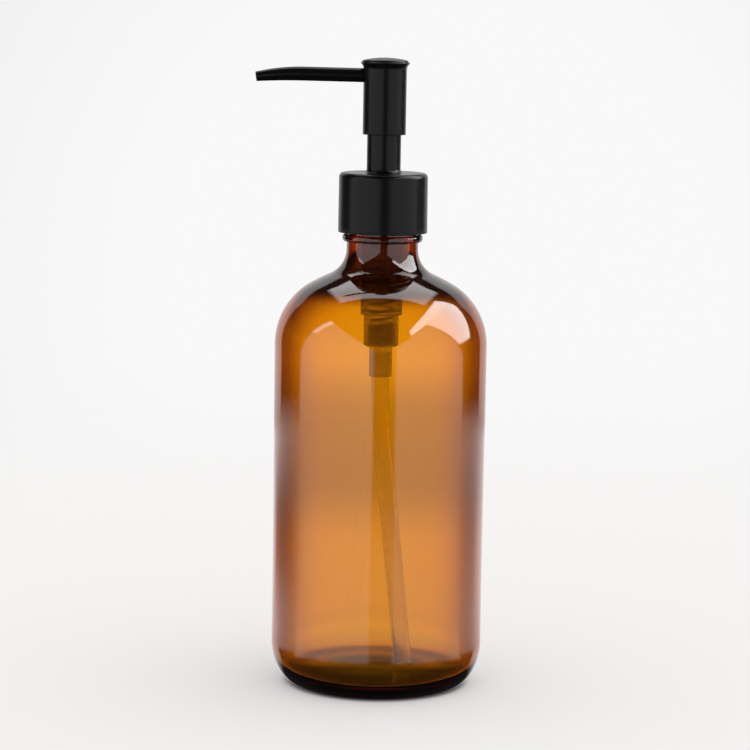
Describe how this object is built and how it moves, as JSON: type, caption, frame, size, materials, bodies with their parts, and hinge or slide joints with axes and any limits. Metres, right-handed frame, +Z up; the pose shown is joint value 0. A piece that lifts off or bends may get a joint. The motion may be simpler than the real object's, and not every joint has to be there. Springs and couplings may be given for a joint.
{
  "type": "soap pump dispenser",
  "caption": "Round-shouldered amber glass bottle with a screw-on lotion pump: black collar, press-down swivelling head with a slim drooping spout, spring return and dip tube.",
  "frame": {"origin": "the bottle's axis at the surface it stands on", "axes": "+Z up along the bottle's axis; -X along the spout at rest; the front view looks along +Y"},
  "size_m": [0.0829, 0.075, 0.2221],
  "materials": {
    "amber_glass": "transparent amber glass",
    "black_plastic": "moulded black",
    "black_coated_metal": "satin black coat",
    "white_rubber": "soft white",
    "clear_plastic": "translucent natural",
    "white_plastic": "natural white",
    "spring_steel": "drawn wire",
    "ball_steel": "polished ball"
  },
  "bodies": {
    "bottle": {"bottle": "amber_glass"},
    "pump_body": {"pump_housing": "clear_plastic", "chaplet": "white_plastic", "bottle_gasket": "white_rubber", "ball_cage": "white_plastic", "dip_tube": "clear_plastic", "stem_seal": "white_rubber", "return_spring": "spring_steel"},
    "closure": {"closure_cap": "black_plastic", "collar_shell": "black_coated_metal"},
    "plunger": {"piston": "white_plastic"},
    "head": {"stem": "white_plastic", "valve_core": "white_plastic", "actuator_insert": "black_plastic", "head_sleeve": "black_coated_metal", "head_cap": "black_coated_metal", "spout": "black_coated_metal", "spout_liner": "white_plastic"},
    "inlet_ball": {"inlet_check_ball": "ball_steel"},
    "outlet_ball": {"outlet_check_ball": "ball_steel"}
  },
  "joints": [
    {"name": "pump_rise", "type": "slide", "parent": "bottle", "child": "pump_body", "axis": [0, 0, 1], "range_m": [0, 0.0064]},
    {"name": "closure_turn", "type": "hinge", "parent": "pump_body", "child": "closure", "pos_m": [0, 0, 0.17], "axis": [0, 0, 1], "range_deg": [0, 540]},
    {"name": "head_press", "type": "slide", "parent": "pump_body", "child": "plunger", "axis": [0, 0, -1], "range_m": [0, 0.0115], "stiffness_N_per_m": 600, "springref_m": -0.01, "deforming": ["return_spring"]},
    {"name": "head_swivel", "type": "hinge", "parent": "plunger", "child": "head", "pos_m": [0, 0, 0.2], "axis": [0, 0, 1], "continuous": true},
    {"name": "inlet_ball_lift", "type": "slide", "parent": "pump_body", "child": "inlet_ball", "axis": [0, 0, 1], "range_m": [0, 0.0012]},
    {"name": "outlet_ball_lift", "type": "slide", "parent": "head", "child": "outlet_ball", "axis": [0, 0, 1], "range_m": [0, 0.0012]}
  ],
  "couplings": [
    {"joint": "pump_rise", "follows": "closure_turn", "m_per_rad": 0.00067376}
  ]
}
